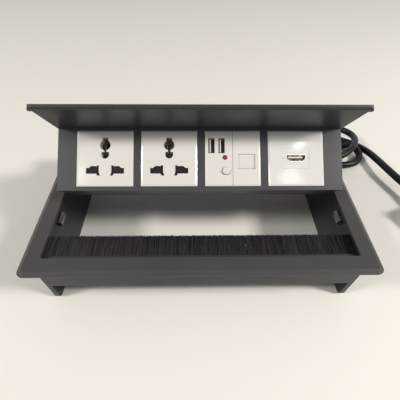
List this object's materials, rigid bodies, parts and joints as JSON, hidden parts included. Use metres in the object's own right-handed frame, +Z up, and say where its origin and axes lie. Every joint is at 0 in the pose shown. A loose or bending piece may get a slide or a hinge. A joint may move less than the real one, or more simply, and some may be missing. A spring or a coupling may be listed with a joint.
{
  "type": "desk socket box",
  "caption": "Flip-up socket box for a desk top: flanged frame with a cable brush, hinged lid and module with universal, USB, data and video outlets, and a mains lead.",
  "frame": {"origin": "middle of the frame's footprint, on the surface that its cheeks stand on", "axes": "+X to the right along the panel, +Y to the back where the hinge is, +Z up out of the desk"},
  "size_m": [0.4153, 0.2683, 0.1443],
  "materials": {
    "black_aluminium": "satin",
    "plain_aluminium": "satin",
    "zinc_steel": "satin",
    "nickel": "bright",
    "nylon": "matt",
    "rubber": "matt",
    "bristle": "matt",
    "cord_black": "satin",
    "plug_black": "satin",
    "white_plastic": "satin",
    "grey_plastic": "matt",
    "ivory_plastic": "matt",
    "brass": "bright",
    "board_green": "satin",
    "red_lens": "gloss"
  },
  "bodies": {
    "frame": {"frame_bezel": "black_aluminium", "front_wall": "black_aluminium", "rear_wall": "black_aluminium", "left_cheek": "black_aluminium", "right_cheek": "black_aluminium", "corner_blocks": "plain_aluminium", "corner_screws": "zinc_steel", "brush_holder": "black_aluminium", "brush_bristles": "bristle", "left_clip": "nickel", "right_clip": "nickel", "hinge_pins": "zinc_steel", "hinge_spacers": "nylon", "stop_pads": "rubber", "cable_gland": "nylon", "lead_run": "cord_black", "lead_loops": "cord_black", "lead_tail": "cord_black", "plug_body": "plug_black", "plug_pins": "brass"},
    "module": {"lid_plate": "black_aluminium", "lid_rail": "black_aluminium", "panel_frame": "black_aluminium", "rear_cover": "black_aluminium", "left_end_plate": "black_aluminium", "right_end_plate": "black_aluminium", "stop_pins": "zinc_steel", "case_screws": "zinc_steel", "socket_1_plate": "white_plastic", "socket_1_body": "ivory_plastic", "socket_1_contacts": "brass", "socket_2_plate": "white_plastic", "socket_2_body": "ivory_plastic", "socket_2_contacts": "brass", "usb_plate": "white_plastic", "usb_ports": "zinc_steel", "usb_tongues": "white_plastic", "usb_led": "red_lens", "usb_board": "board_green", "data_plate": "white_plastic", "data_jack": "grey_plastic", "video_plate": "white_plastic", "video_insert": "white_plastic", "video_port": "zinc_steel", "video_carrier": "grey_plastic", "terminal_block": "ivory_plastic", "busbars": "brass", "module_gland": "rubber"},
    "socket_1_shutter": {"socket_1_shutter": "grey_plastic"},
    "socket_2_shutter": {"socket_2_shutter": "grey_plastic"},
    "usb_button": {"usb_button": "white_plastic"},
    "data_shutter": {"data_shutter": "white_plastic"}
  },
  "joints": [
    {"name": "module_hinge", "type": "hinge", "parent": "frame", "child": "module", "pos_m": [0, 0.0603, 0.053], "axis": [1, 0, 0], "range_deg": [0, 53]},
    {"name": "socket_1_shutter_slide", "type": "slide", "parent": "module", "child": "socket_1_shutter", "axis": [0, -0.7986, -0.6018], "range_m": [0, 0.0072], "stiffness_N_per_m": 50, "springref_m": -0.004},
    {"name": "socket_2_shutter_slide", "type": "slide", "parent": "module", "child": "socket_2_shutter", "axis": [0, -0.7986, -0.6018], "range_m": [0, 0.0072], "stiffness_N_per_m": 50, "springref_m": -0.004},
    {"name": "usb_button_press", "type": "slide", "parent": "module", "child": "usb_button", "axis": [0, 0.6018, -0.7986], "range_m": [0, 0.0012], "stiffness_N_per_m": 400, "springref_m": -0.001},
    {"name": "data_shutter_slide", "type": "slide", "parent": "module", "child": "data_shutter", "axis": [0, 0.7986, 0.6018], "range_m": [0, 0.0126], "stiffness_N_per_m": 50, "springref_m": -0.004}
  ]
}
